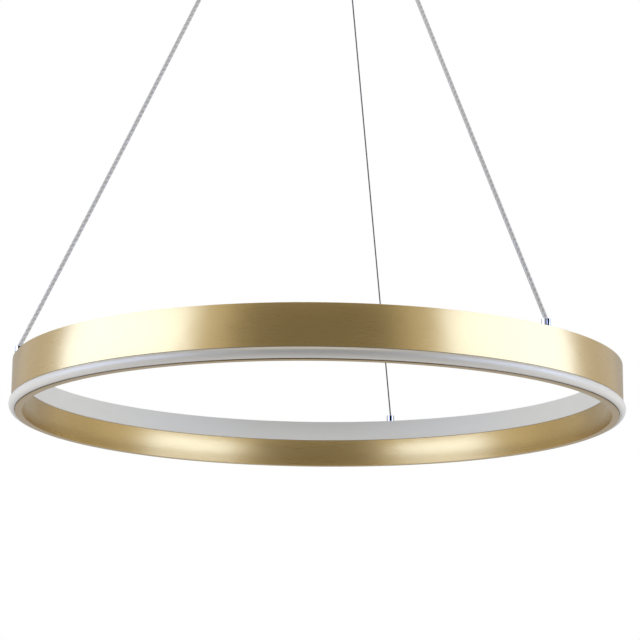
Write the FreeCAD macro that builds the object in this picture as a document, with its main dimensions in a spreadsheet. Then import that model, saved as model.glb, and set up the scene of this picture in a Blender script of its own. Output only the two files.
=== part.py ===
import FreeCAD, Part
import math
import os

import Sketcher

# LED ring chandelier: a slim gilt ring with two opal light bands, hung on two
# sheathed conductors and one steel wire from a round ceiling canopy.
# Frame: origin at the centre of the face that meets the ceiling, +Z up, -Y towards
# the viewer, millimetres and degrees. Ring pieces are drawn with z = 0 on the ring's
# top face, and gripper pieces with z = 0 on the canopy's lower face.

SIZES = {
    # ring extrusion
    "ring_radius": 300.0,         # outer face of the gilt band
    "ring_depth": 11.0,           # outer face to inner face
    "ring_height": 49.4,
    "outer_band": 38.7,           # height of the gilt outer wall, from the top
    "inner_band": 28.5,           # height of the gilt inner wall, from the bottom
    "ring_wall": 1.5,
    "lip_width": 7.0,             # flat metal underside
    # light bands
    "fit_gap": 0.3,               # between a diffuser and the metal beside it
    "inner_skin": 2.0,            # thickness of the inner diffuser
    "inner_proud": 0.6,           # how far it stands in from the gilt inner wall
    "inner_foot": 1.8,            # snap leg over the middle web
    "leg": 1.2,                   # thickness of the diffusers' snap legs
    "lens_bulge": 4.14,           # height of the outer diffuser's round face over its chord
    "lens_flats": 3.0,            # flats that the round face is made of
    "lens_leg": 3.0,              # snap leg up behind the gilt outer wall
    "bond_gap": 0.05,             # adhesive under boards, lamps and plates
    "board": 1.0,                 # thickness of the circuit boards
    "board_gap": 2.5,             # between the boards' edges and the metal or nuts beside them
    "outer_board_width": 12.0,
    "lamp_count": 36.0,           # light-emitting chips on each board
    "lamp_wide": 3.5,
    "lamp_high": 2.8,
    "lamp_thick": 0.8,
    "splice_arc": 12.0,           # degrees covered by the plate behind the ring's joint
    "splice_gap": 3.3,            # between the plate and the outer diffuser's leg
    "splice_turn": 90.0,          # where the joint lies round the ring
    # wire anchors on the ring
    "anchor_inset": 4.5,          # wire centre from the band's outer face
    "anchor_turn": 73.9,          # first wire, degrees from +X
    "cap_radius": 4.2,
    "cap_height": 7.0,
    "cap_chamfer": 0.5,
    "stud_radius": 1.5,
    "stud_play": 0.1,
    "stud_tail": 1.1,             # stud end below its nut
    "stud_nut": 5.5,              # across flats
    "stud_nut_high": 2.4,
    "lead_radius": 0.8,
    "lead_hole": 2.0,             # radius of the hole in the middle web
    "lead_drop": 3.0,             # lead's end below the outer board's top
    # suspension
    "drop": 494.0,                # ceiling to the ring's top face
    "exit_inset": 17.0,           # wire centre from the canopy's side
    "canopy_twist": 2.6,          # canopy turned clockwise from the ring, degrees
    "cord_radius": 2.1,           # sheathed conductors
    "wire_radius": 0.75,          # bare steel wire
    "wire_spare": 8.0,            # wire ends standing out of their grippers
    # canopy
    "canopy_radius": 118.0,
    "canopy_height": 40.0,
    "canopy_sheet": 1.2,
    "cover_hole": 2.2,
    "bar_width": 24.0,
    "bar_sheet": 1.5,
    "bar_bend": 3.0,
    "ear_gap": 0.3,
    "ear_drop": 20.0,
    "screw_level": 10.0,          # cover screws below the ceiling
    "screw_radius": 1.95,
    "screw_play": 0.05,
    "knob_radius": 5.0,
    "knob_length": 5.0,
    "screw_tail": 3.0,            # cover screw beyond the ear
    "slot_spacing": 100.0,
    "slot_length": 22.0,
    "slot_width": 5.4,
    "mains_hole": 9.0,
    "mains_place": 24.0,          # mains hole beside the canopy's axis
    # wire grippers
    "nozzle_reach": 16.0,         # nozzle mouth below the canopy
    "barrel_reach": 12.0,         # gripper barrel below the canopy
    "barrel_radius": 8.5,
    "barrel_chamfer": 1.5,
    "barrel_lid": 3.0,            # closed top of the barrel, over the spring
    "neck_radius": 6.5,
    "neck_play": 0.2,
    "neck_high": 12.0,
    "guide_high": 4.0,
    "guide_play": 0.05,
    "cone_high": 7.0,
    "cone_angle": 8.0,
    "wire_play": 0.2,
    "nozzle_wall": 1.6,
    "jaw_gap": 0.1,               # between the jaws and the cone at rest
    "jaw_slit": 0.8,
    "nut_flats": 17.0,
    "nut_high": 4.0,
    # driver and terminals
    "driver_long": 150.0,
    "driver_wide": 52.0,
    "case_high": 14.0,
    "lid_high": 8.0,
    "hood_long": 12.0,
    "hood_high": 9.0,
    "driver_pad": 1.0,            # foam pad under the case
    "driver_pad_inset": 4.0,
    "block_long": 24.0,
    "block_wide": 18.0,
    "block_high": 14.0,
    "block_step": 5.0,            # lower ledge on each side, where the cores go in
    "block_place": 52.0,          # terminal block's centre behind the canopy's axis
    "block_pitch": 12.0,
    "block_entry": 5.0,           # square core entries
    "block_sill": 2.5,
}

SIDES = ("back", "left", "right")  # the wires, counter-clockwise from above
TURN = 360.0 / len(SIDES)

doc = FreeCAD.newDocument("LedRingChandelier")
sheet = doc.addObject("Spreadsheet::Sheet", "Sizes")
for row, (alias, amount) in enumerate(SIZES.items(), start=1):
    sheet.set(f"A{row}", alias)
    sheet.set(f"B{row}", str(amount))
    sheet.setAlias(f"B{row}", alias)
doc.recompute()


class Size:
    """A size of the sheet, or a sum or share of some, as an expression and as its value."""

    def __init__(self, text, value):
        self.text = text
        self.value = value

    def __add__(self, other):
        other = as_size(other)
        return Size(f"({self.text} + {other.text})", self.value + other.value)

    def __sub__(self, other):
        other = as_size(other)
        return Size(f"({self.text} - {other.text})", self.value - other.value)

    def __mul__(self, other):
        other = as_size(other)
        return Size(f"({self.text} * {other.text})", self.value * other.value)

    def __truediv__(self, other):
        other = as_size(other)
        return Size(f"({self.text} / {other.text})", self.value / other.value)

    def __neg__(self):
        return Size(f"(-{self.text})", -self.value)

    def root(self):
        return Size(f"sqrt({self.text})", math.sqrt(self.value))


def as_size(amount):
    if isinstance(amount, Size):
        return amount
    return Size(repr(float(amount)), float(amount))


class SheetSizes:
    """Gives each cell of the sheet as a Size, by its alias."""

    def __getattr__(self, alias):
        return Size(f"Sizes.{alias}", float(getattr(sheet, alias)))


S = SheetSizes()
ZERO = as_size(0)


# ---------------------------------------------------------------- drawing helpers

def new_body(label):
    body = doc.addObject("PartDesign::Body", label)
    body.Label = label
    return body


def new_sketch(body, role, name):
    sketch = body.newObject("Sketcher::SketchObject", name)
    plane = next(item for item in body.Origin.OriginFeatures if item.Role == role)
    sketch.AttachmentSupport = [(plane, "")]
    sketch.MapMode = "FlatFace"
    return sketch


def constrain(sketch, kind, *items, size, name):
    """Adds a constraint whose datum follows the expression of a Size."""
    index = sketch.addConstraint(Sketcher.Constraint(kind, *items, size.value))
    sketch.renameConstraint(index, name)
    sketch.setExpression(f"Constraints.{name}", size.text)


def pin_point(sketch, edge, end, across, up, name):
    """Fixes one end of an edge: on an axis where the size is nought, else by a datum."""
    if across is ZERO:
        sketch.addConstraint(Sketcher.Constraint("PointOnObject", edge, end, -2))
    else:
        constrain(sketch, "DistanceX", edge, end, size=across, name=f"across_{name}")
    if up is ZERO:
        sketch.addConstraint(Sketcher.Constraint("PointOnObject", edge, end, -1))
    else:
        constrain(sketch, "DistanceY", edge, end, size=up, name=f"up_{name}")


def arc_between(first, last, radius, left):
    """Short arc from first to last with its centre on the left or right of the way there."""
    chord = last - first
    half = chord.Length / 2
    normal = FreeCAD.Vector(-chord.y, chord.x, 0).normalize()
    offset = math.sqrt(radius ** 2 - half ** 2)
    centre = (first + last) / 2 + normal * (offset if left else -offset)
    circle = Part.Circle(centre, FreeCAD.Vector(0, 0, 1), radius)
    start, end = (first, last) if left else (last, first)
    begin = math.atan2(start.y - centre.y, start.x - centre.x)
    finish = math.atan2(end.y - centre.y, end.x - centre.x)
    return Part.ArcOfCircle(circle, begin, finish)


def outline(sketch, corners, arcs=None, name=""):
    """Closed outline through the corners; arcs maps an edge's number to (radius, centre on the left)."""
    arcs = arcs or {}
    points = [FreeCAD.Vector(across.value, up.value, 0) for across, up in corners]
    starts = []
    ends = []
    for k, first in enumerate(points):
        last = points[(k + 1) % len(points)]
        if k in arcs:
            radius, left = arcs[k]
            edge = sketch.addGeometry(arc_between(first, last, radius.value, left), False)
            starts.append((edge, 1 if left else 2))
            ends.append((edge, 2 if left else 1))
        else:
            edge = sketch.addGeometry(Part.LineSegment(first, last), False)
            starts.append((edge, 1))
            ends.append((edge, 2))
    for k in range(len(points)):
        sketch.addConstraint(
            Sketcher.Constraint("Coincident", *ends[k], *starts[(k + 1) % len(points)])
        )
    for k, (across, up) in enumerate(corners):
        pin_point(sketch, *starts[k], across, up, f"{k}{name}")
    for k, (radius, left) in arcs.items():
        constrain(sketch, "Radius", starts[k][0], size=radius, name=f"radius_{k}")


def circle(sketch, across, up, radius, name):
    place = FreeCAD.Vector(across.value, up.value, 0)
    edge = sketch.addGeometry(Part.Circle(place, FreeCAD.Vector(0, 0, 1), radius.value), False)
    pin_point(sketch, edge, 3, across, up, name)
    constrain(sketch, "Radius", edge, size=radius, name=f"radius_{name}")


def revolved(label, corners, arcs=None, angle=None):
    """Body made by turning an outline, given as (radius, height) corners, about Z."""
    body = new_body(label)
    sketch = new_sketch(body, "XZ_Plane", f"{label}_profile")
    outline(sketch, corners, arcs)
    turn = body.newObject("PartDesign::Revolution", f"{label}_turn")
    turn.Profile = sketch
    turn.ReferenceAxis = (sketch, ["V_Axis"])
    turn.Angle = 360.0
    if angle is not None:
        turn.setExpression("Angle", f"{angle.text} * 1 deg")
    return body


def drill(body, role, name, draw, reverse=False):
    """Cuts holes right through the body along the normal of one of its origin planes."""
    doc.recompute()
    before = body.Shape.Volume
    sketch = new_sketch(body, role, f"{name}_sketch")
    draw(sketch)
    pocket = body.newObject("PartDesign::Pocket", name)
    pocket.Profile = sketch
    pocket.Type = "ThroughAll"
    pocket.Reversed = reverse
    doc.recompute()
    if not body.Shape.Volume < before - 0.01:
        raise RuntimeError(f"{name} cuts nothing")
    return pocket


def around(body, feature, count, name):
    """Repeats a feature round Z, the first copy where it was drawn."""
    pattern = body.newObject("PartDesign::PolarPattern", name)
    pattern.Originals = [feature]
    axis = next(item for item in body.Origin.OriginFeatures if item.Role == "Z_Axis")
    pattern.Axis = (axis, [""])
    pattern.Angle = 360.0
    pattern.Occurrences = count
    body.Tip = pattern
    return pattern


def primitive(kind, label, **sizes):
    """Part primitive whose properties follow the sheet."""
    item = doc.addObject(f"Part::{kind}", label)
    item.Label = label
    for name, size in sizes.items():
        item.setExpression(name, size.text)
    return item


def cut(label, base, tool):
    item = doc.addObject("Part::Cut", label)
    item.Label = label
    item.Base = base
    item.Tool = tool
    return item


def fuse(label, pieces):
    item = doc.addObject("Part::MultiFuse", label)
    item.Label = label
    item.Shapes = pieces
    return item


def group(label, pieces):
    """Separate equal pieces that share one node."""
    item = doc.addObject("Part::Compound", label)
    item.Label = label
    item.Links = pieces
    return item


def place(item, x=0.0, y=0.0, z=0.0, turn=0.0):
    """Moves an object to x, y, z, turned about Z by some degrees."""
    spin = FreeCAD.Rotation(FreeCAD.Vector(0, 0, 1), turn)
    item.Placement = FreeCAD.Placement(FreeCAD.Vector(x, y, z), spin)
    return item


def feature(label, shape):
    item = doc.addObject("Part::Feature", label)
    item.Label = label
    item.Shape = shape
    return item


def polar(radius, turn, z=0.0):
    angle = math.radians(turn)
    return FreeCAD.Vector(radius * math.cos(angle), radius * math.sin(angle), z)


# ---------------------------------------------------------------- the ring

RING_Z = -S.drop.value
inner_face = S.ring_radius - S.ring_depth
strip = S.ring_height - S.inner_band           # height of the inner light band
outer_wall = S.ring_radius - S.ring_wall       # its inside face
inner_wall = inner_face + S.ring_wall          # its outside face
flange_edge = inner_face + S.inner_skin + S.fit_gap
lip_edge = inner_face + S.lip_width
lip_top = -S.ring_height + S.ring_wall
anchor_radius = S.ring_radius - S.anchor_inset
exit_radius = S.canopy_radius - S.exit_inset
stud_tip = -S.ring_wall - S.stud_nut_high - S.stud_tail
inner_board_face = outer_wall - S.bond_gap - S.board
inner_board_top = -S.ring_wall - S.stud_nut_high - S.board_gap
inner_board_low = -strip + S.board_gap
outer_board_back = inner_wall + S.bond_gap
outer_board_face = outer_board_back + S.board
outer_board_low = lip_top + S.board_gap
lens_top = -S.outer_band - S.fit_gap
lead_end = outer_board_low + S.outer_board_width - S.lead_drop
lead_foot = outer_board_face + S.lead_radius + S.bond_gap
web_middle = -strip - S.ring_wall / 2
lead_slope = (anchor_radius - lead_foot) / (stud_tip - lead_end)
lead_crossing = anchor_radius - lead_slope * (stud_tip - web_middle)   # its radius at the web
turns = {side: S.anchor_turn.value + TURN * k for k, side in enumerate(SIDES)}
exit_turns = {side: turn - S.canopy_twist.value for side, turn in turns.items()}


def on_ring(item, turn=0.0):
    return place(item, z=RING_Z, turn=turn)


def ring_frame():
    """One S-shaped extrusion: an outer wall hung from the top, an inner wall stood on the lip, a web between."""
    body = revolved("ring_frame", [
        (S.ring_radius, ZERO),
        (S.ring_radius, -S.outer_band),
        (outer_wall, -S.outer_band),
        (outer_wall, -strip - S.ring_wall),
        (inner_wall, -strip - S.ring_wall),
        (inner_wall, lip_top),
        (lip_edge, lip_top),
        (lip_edge, -S.ring_height),
        (inner_face, -S.ring_height),
        (inner_face, -strip),
        (outer_wall, -strip),
        (outer_wall, -S.ring_wall),
        (flange_edge, -S.ring_wall),
        (flange_edge, ZERO),
    ])
    sketch = new_sketch(body, "XY_Plane", "stud_hole_sketch")
    circle(sketch, anchor_radius, ZERO, S.stud_radius + S.stud_play, "stud")
    holes = body.newObject("PartDesign::Pocket", "stud_hole")
    holes.Profile = sketch
    holes.Type = "Length"
    holes.setExpression("Length", (S.ring_wall + S.fit_gap).text)
    doc.recompute()
    around(body, holes, len(SIDES), "stud_holes")
    web = new_sketch(body, "XY_Plane", "lead_hole_sketch")
    web.setExpression("AttachmentOffset.Base.z", (-strip + S.fit_gap).text)
    for side in ("left", "right"):
        turn = math.radians(turns[side] - turns["back"])
        circle(web, lead_crossing * math.cos(turn), lead_crossing * math.sin(turn), S.lead_hole, side)
    doc.recompute()
    before = body.Shape.Volume
    leads = body.newObject("PartDesign::Pocket", "lead_holes")
    leads.Profile = web
    leads.Type = "Length"
    leads.setExpression("Length", (S.ring_wall + S.fit_gap * 2).text)
    doc.recompute()
    drilled = 2 * math.pi * S.lead_hole.value ** 2 * S.ring_wall.value
    if abs(before - body.Shape.Volume - drilled) > 0.05 * drilled:
        raise RuntimeError("the lead holes miss the web")
    return on_ring(body, turns["back"])


def inner_diffuser():
    """Opal band in the upper half of the inner face, a little proud of the metal, with a foot on the web."""
    front = inner_face - S.inner_proud
    back = inner_face + S.inner_skin
    foot = -strip + S.fit_gap
    return on_ring(revolved("inner_diffuser", [
        (front, ZERO),
        (front, foot),
        (back + S.inner_foot, foot),
        (back + S.inner_foot, foot + S.leg),
        (back, foot + S.leg),
        (back, ZERO),
    ]))


def outer_diffuser():
    """Opal half-round lens under the gilt outer wall, its leg up behind that wall and its edge over the lip."""
    top = lens_top
    behind = outer_wall - S.fit_gap
    edge = lip_edge + S.fit_gap
    seat = lip_top + S.fit_gap
    first = FreeCAD.Vector(S.ring_radius.value, top.value, 0)
    last = FreeCAD.Vector(edge.value, -S.ring_height.value, 0)
    bulge = S.lens_bulge.value
    bow = arc_between(first, last, (((last - first).Length / 2) ** 2 + bulge ** 2) / (2 * bulge), False)
    flats = int(S.lens_flats.value)
    span = bow.LastParameter - bow.FirstParameter
    round_face = []
    for k in range(1, flats):
        spot = bow.value(bow.LastParameter - span * k / flats)
        round_face.append((S.ring_radius + (spot.x - first.x), top + (spot.y - first.y)))
    return on_ring(revolved("outer_diffuser", [(S.ring_radius, top)] + round_face + [
        (edge, -S.ring_height),
        (edge, seat),
        (behind - S.leg, top + S.lens_leg),
        (behind, top + S.lens_leg),
        (behind, top),
    ]))


def hoop(label, inside, thickness, low, high):
    """Flat band of a given thickness, from one height to another."""
    return on_ring(revolved(label, [
        (inside, low), (inside + thickness, low), (inside + thickness, high), (inside, high),
    ]))


def lamps(label, face, middle, outward):
    """Chips set round a board's face, each a flat box that looks towards or away from the axis."""
    wide = S.lamp_wide.value
    high = S.lamp_high.value
    thick = S.lamp_thick.value
    near = face + S.bond_gap.value if outward else face - S.bond_gap.value - thick
    count = int(S.lamp_count.value)
    chips = []
    for k in range(count):
        chip = Part.makeBox(thick, wide, high, FreeCAD.Vector(near, -wide / 2, middle - high / 2))
        chip.rotate(FreeCAD.Vector(), FreeCAD.Vector(0, 0, 1), 360.0 * (k + 0.5) / count)
        chips.append(chip)
    return on_ring(feature(label, Part.makeCompound(chips)))


def splice():
    """Curved plate bonded behind the joint of the rolled extrusion."""
    low = lens_top + S.lens_leg + S.splice_gap
    high = -strip - S.ring_wall - S.fit_gap
    back = outer_wall - S.bond_gap
    plate = revolved("splice_plate", [
        (back - S.board, low), (back, low), (back, high), (back - S.board, high),
    ], angle=S.splice_arc)
    return on_ring(plate, S.splice_turn.value - S.splice_arc.value / 2)


def build_ring():
    ring_frame()
    inner_diffuser()
    outer_diffuser()
    hoop("inner_led_board", inner_board_face, S.board, inner_board_low, inner_board_top)
    hoop("outer_led_board", outer_board_back, S.board, outer_board_low, outer_board_low + S.outer_board_width)
    inner_middle = ((inner_board_top + inner_board_low) / 2).value
    outer_middle = (outer_board_low + S.outer_board_width / 2).value
    lamps("inner_led_chips", inner_board_face.value, inner_middle, outward=False)
    lamps("outer_led_chips", outer_board_face.value, outer_middle, outward=True)


# ---------------------------------------------------------------- anchors on the ring

def anchor_caps():
    """Turned caps that clamp the wires' ends, with their studs down through the ring's top flange."""
    caps = []
    for side in SIDES:
        cap = revolved(f"anchor_cap_{side}", [
            (ZERO, S.cap_height),
            (S.cap_radius - S.cap_chamfer, S.cap_height),
            (S.cap_radius, S.cap_height - S.cap_chamfer),
            (S.cap_radius, ZERO),
            (S.stud_radius, ZERO),
            (S.stud_radius, stud_tip),
            (ZERO, stud_tip),
        ])
        spot = polar(anchor_radius.value, turns[side])
        caps.append(place(cap, spot.x, spot.y, RING_Z))
    return group("anchor_caps", caps)


def hex_nut(label, flats, high, bore):
    """Hexagon nut, flat side towards +X, standing on z = 0."""
    prism = primitive("Prism", f"{label}_prism", Circumradius=flats / math.sqrt(3), Height=high)
    prism.Polygon = 6
    prism.Placement = FreeCAD.Placement(FreeCAD.Vector(), FreeCAD.Rotation(FreeCAD.Vector(0, 0, 1), 30))
    hole = primitive("Cylinder", f"{label}_hole", Radius=bore, Height=high)
    return cut(label, prism, hole)


def anchor_nuts():
    nuts = []
    level = RING_Z - S.ring_wall.value - S.stud_nut_high.value
    for side in SIDES:
        nut = hex_nut(f"anchor_nut_{side}", S.stud_nut, S.stud_nut_high, S.stud_radius + S.screw_play)
        spot = polar(anchor_radius.value, turns[side])
        nuts.append(place(nut, spot.x, spot.y, level, turns[side]))
    return group("anchor_nuts", nuts)


def ring_lead(side):
    """Lead from a conductor's stud slanting down through the web to the outer circuit board."""
    top = FreeCAD.Vector(anchor_radius.value, 0, stud_tip.value)
    along = FreeCAD.Vector(lead_foot.value, 0, lead_end.value) - top
    spare = S.lead_radius.value * lead_slope.value + S.bond_gap.value
    bar = primitive("Cylinder", f"ring_lead_{side}", Radius=S.lead_radius)
    bar.Height = along.Length - spare
    spin = FreeCAD.Rotation(FreeCAD.Vector(0, 0, 1), along)
    start = top + FreeCAD.Vector(along).normalize() * spare
    around_ring = FreeCAD.Placement(
        FreeCAD.Vector(0, 0, RING_Z), FreeCAD.Rotation(FreeCAD.Vector(0, 0, 1), turns[side])
    )
    bar.Placement = around_ring.multiply(FreeCAD.Placement(start, spin))
    return bar


def build_anchors():
    anchor_caps()
    anchor_nuts()
    group("ring_leads", [ring_lead(side) for side in ("left", "right")])


# ---------------------------------------------------------------- ceiling bracket and canopy

cup_inside = S.canopy_radius - S.canopy_sheet
ear_reach = (cup_inside * cup_inside - S.bar_width * S.bar_width / 4).root() - S.ear_gap
CUP_Z = -S.canopy_height.value
floor = -S.canopy_height + S.canopy_sheet


def ceiling_bracket():
    """Bar against the ceiling with both ends bent down as ears for the cover screws."""
    body = new_body("ceiling_bracket")
    sketch = new_sketch(body, "XZ_Plane", "bar_profile")
    reach = ear_reach
    bend = S.bar_bend
    inside = bend - S.bar_sheet
    outline(sketch, [
        (bend - reach, ZERO), (reach - bend, ZERO),
        (reach, -bend), (reach, -S.ear_drop),
        (reach - S.bar_sheet, -S.ear_drop), (reach - S.bar_sheet, -bend),
        (reach - bend, -S.bar_sheet), (bend - reach, -S.bar_sheet),
        (S.bar_sheet - reach, -bend), (S.bar_sheet - reach, -S.ear_drop),
        (-reach, -S.ear_drop), (-reach, -bend),
    ], arcs={1: (bend, False), 5: (inside, True), 7: (inside, True), 11: (bend, False)})
    pad = body.newObject("PartDesign::Pad", "bar")
    pad.Profile = sketch
    pad.setExpression("Length", S.bar_width.text)
    pad.SideType = "Symmetric"
    doc.recompute()

    def openings(plan):
        circle(plan, -S.mains_place, ZERO, S.mains_hole, "mains")
        half = (S.slot_length - S.slot_width) / 2
        radius = S.slot_width / 2
        for side, name in ((-1, "left"), (1, "right")):
            slot(plan, S.slot_spacing / 2 * side, half, radius, name)

    drill(body, "XY_Plane", "bar_openings", openings)

    def ear_holes(plan):
        circle(plan, ZERO, -S.screw_level, S.screw_radius + S.screw_play, "ear")

    pocket = drill(body, "YZ_Plane", "ear_holes", ear_holes)
    pocket.SideType = "Symmetric"
    doc.recompute()
    return body


def slot(sketch, centre, half, radius, name):
    """Slot along the sketch's first axis, with round ends; half is half the centre distance."""
    left = centre - half
    right = centre + half
    spots = [(left, -radius), (right, -radius), (right, radius), (left, radius)]
    points = [FreeCAD.Vector(x.value, y.value, 0) for x, y in spots]
    up = FreeCAD.Vector(0, 0, 1)
    quarter = math.pi / 2
    right_end = Part.Circle(FreeCAD.Vector(right.value, 0, 0), up, radius.value)
    left_end = Part.Circle(FreeCAD.Vector(left.value, 0, 0), up, radius.value)
    edges = [
        sketch.addGeometry(Part.LineSegment(points[0], points[1]), False),
        sketch.addGeometry(Part.ArcOfCircle(right_end, -quarter, quarter), False),
        sketch.addGeometry(Part.LineSegment(points[2], points[3]), False),
        sketch.addGeometry(Part.ArcOfCircle(left_end, quarter, 3 * quarter), False),
    ]
    for k in range(4):
        sketch.addConstraint(Sketcher.Constraint("Tangent", edges[k], 2, edges[(k + 1) % 4], 1))
    pin_point(sketch, edges[1], 3, right, ZERO, f"{name}_right")
    pin_point(sketch, edges[3], 3, left, ZERO, f"{name}_left")
    constrain(sketch, "Radius", edges[1], size=radius, name=f"{name}_radius")


def canopy_cup():
    """Spun cup, open towards the ceiling, with a hole for each gripper and one for each cover screw."""
    low = -S.canopy_height
    body = revolved("canopy_cup", [
        (ZERO, low),
        (S.canopy_radius, low),
        (S.canopy_radius, ZERO),
        (cup_inside, ZERO),
        (cup_inside, floor),
        (ZERO, floor),
    ])

    def gripper_holes(plan):
        for side in SIDES:
            turn = math.radians(exit_turns[side])
            across = exit_radius * math.cos(turn)
            circle(plan, across, exit_radius * math.sin(turn), S.neck_radius + S.neck_play, side)

    drill(body, "XY_Plane", "gripper_holes", gripper_holes)

    def cover_holes(plan):
        circle(plan, ZERO, -S.screw_level, S.cover_hole, "cover")

    pocket = drill(body, "YZ_Plane", "cover_holes", cover_holes)
    pocket.SideType = "Symmetric"
    doc.recompute()
    return body


def turned_screw(label, head, head_high, shank, length):
    """Plain screw: head below z = 0, shank up from it."""
    return revolved(label, [
        (ZERO, -head_high), (head, -head_high), (head, ZERO),
        (shank, ZERO), (shank, length), (ZERO, length),
    ])


def cover_screws():
    """Two knurled screws that hold the cup on the bracket's ears."""
    length = S.canopy_radius - ear_reach + S.bar_sheet + S.screw_tail
    screws = []
    for side, name in ((-1, "left"), (1, "right")):
        screw = turned_screw(f"cover_screw_{name}", S.knob_radius, S.knob_length, S.screw_radius, length)
        tilt = FreeCAD.Rotation(FreeCAD.Vector(0, 1, 0), -90 * side)
        spot = FreeCAD.Vector(side * S.canopy_radius.value, 0, -S.screw_level.value)
        screw.Placement = FreeCAD.Placement(spot, tilt)
        screws.append(screw)
    return group("cover_screws", screws)


# ---------------------------------------------------------------- grippers

def gripper_sizes(wire):
    """Radii and heights that follow from the wire's radius."""
    slope = math.tan(math.radians(S.cone_angle.value))
    bore = wire + S.wire_play
    nozzle = bore + S.nozzle_wall
    cone_low = -S.barrel_reach + S.guide_high
    cone_top = cone_low + S.cone_high
    narrow = nozzle + S.guide_play
    return {
        "bore": bore,
        "nozzle": nozzle,
        "guide": narrow,
        "cone_low": cone_low,
        "cone_top": cone_top,
        "chamber": narrow + S.cone_high * slope,
        "mouth": -S.nozzle_reach,
    }


def gripper_barrel(side, sizes):
    """Outer barrel: head below the canopy, neck through it, cone and spring chamber inside, closed top."""
    body = revolved(f"gripper_barrel_{side}", [
        (sizes["guide"], -S.barrel_reach),
        (S.barrel_radius - S.barrel_chamfer, -S.barrel_reach),
        (S.barrel_radius, -S.barrel_reach + S.barrel_chamfer),
        (S.barrel_radius, ZERO),
        (S.neck_radius, ZERO),
        (S.neck_radius, S.neck_high),
        (sizes["bore"], S.neck_high),
        (sizes["bore"], S.neck_high - S.barrel_lid),
        (sizes["chamber"], S.neck_high - S.barrel_lid),
        (sizes["chamber"], sizes["cone_top"]),
        (sizes["guide"], sizes["cone_low"]),
    ])
    return at_exit(body, side)


def gripper_collet(side, sizes):
    """Release nozzle whose upper end is a cone slit right across into two jaws round the wire."""
    top = sizes["cone_top"] - S.jaw_gap
    wide = sizes["chamber"] - S.jaw_gap
    body = revolved(f"gripper_collet_{side}", [
        (sizes["bore"], sizes["mouth"]),
        (sizes["nozzle"], sizes["mouth"]),
        (sizes["nozzle"], sizes["cone_low"] + S.jaw_gap),
        (wide, top),
        (sizes["bore"], top),
    ])
    sketch = new_sketch(body, "XY_Plane", f"slit_{side}_sketch")
    sketch.setExpression("AttachmentOffset.Base.z", top.text)
    half = S.jaw_slit / 2
    across = wide + S.jaw_slit
    outline(sketch, [(-across, -half), (across, -half), (across, half), (-across, half)])
    slit = body.newObject("PartDesign::Pocket", f"slit_{side}")
    slit.Profile = sketch
    slit.Type = "Length"
    slit.setExpression("Length", S.cone_high.text)
    doc.recompute()
    return at_exit(body, side)


def at_exit(item, side, rise=0.0):
    spot = polar(exit_radius.value, exit_turns[side])
    return place(item, spot.x, spot.y, CUP_Z + rise, exit_turns[side])


def build_grippers():
    barrels = []
    nuts = []
    for side in SIDES:
        wire = S.wire_radius if side == "back" else S.cord_radius
        sizes = gripper_sizes(wire)
        barrels.append(gripper_barrel(side, sizes))
        gripper_collet(side, sizes)
        nut = hex_nut(f"gripper_nut_{side}", S.nut_flats, S.nut_high, S.neck_radius + S.screw_play)
        nuts.append(at_exit(nut, side, S.canopy_sheet.value))
    group("gripper_barrels", barrels)
    group("gripper_nuts", nuts)


# ---------------------------------------------------------------- conductors and wire

MOUTH_Z = CUP_Z - S.nozzle_reach.value
CAP_Z = RING_Z + S.cap_height.value


def free_stretch(label, side, radius):
    """Taut stretch from an anchor cap to a gripper's mouth, its ends cut level."""
    low = polar(anchor_radius.value, turns[side], CAP_Z)
    high = polar(exit_radius.value, exit_turns[side], MOUTH_Z)
    along = high - low
    spare = radius.value * 4
    direction = FreeCAD.Vector(along).normalize()
    bar = primitive("Cylinder", f"{label}_bar", Radius=radius)
    bar.Height = along.Length + 2 * spare
    spin = FreeCAD.Rotation(FreeCAD.Vector(0, 0, 1), direction)
    bar.Placement = FreeCAD.Placement(low - direction * spare, spin)
    slab = doc.addObject("Part::Box", f"{label}_slab")
    reach = S.ring_radius.value * 2
    slab.Length = 2 * reach
    slab.Width = 2 * reach
    slab.Height = MOUTH_Z - CAP_Z
    slab.Placement.Base = FreeCAD.Vector(-reach, -reach, CAP_Z)
    item = doc.addObject("Part::Common", label)
    item.Label = label
    item.Base = bar
    item.Tool = slab
    return item


def wire_end(label, side, radius):
    """End of a conductor or wire, straight up through its gripper into the canopy."""
    length = S.nozzle_reach + S.neck_high + S.wire_spare
    item = primitive("Cylinder", label, Radius=radius, Height=length)
    spot = polar(exit_radius.value, exit_turns[side])
    return place(item, spot.x, spot.y, MOUTH_Z)


def build_wires():
    for side in ("left", "right"):
        free_stretch(f"conductor_{side}", side, S.cord_radius)
    free_stretch("steel_wire_back", "back", S.wire_radius)
    group("conductor_ends", [
        wire_end(f"conductor_{side}_end", side, S.cord_radius) for side in ("left", "right")
    ])
    wire_end("steel_wire_end", "back", S.wire_radius)


# ---------------------------------------------------------------- driver and terminals

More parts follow.
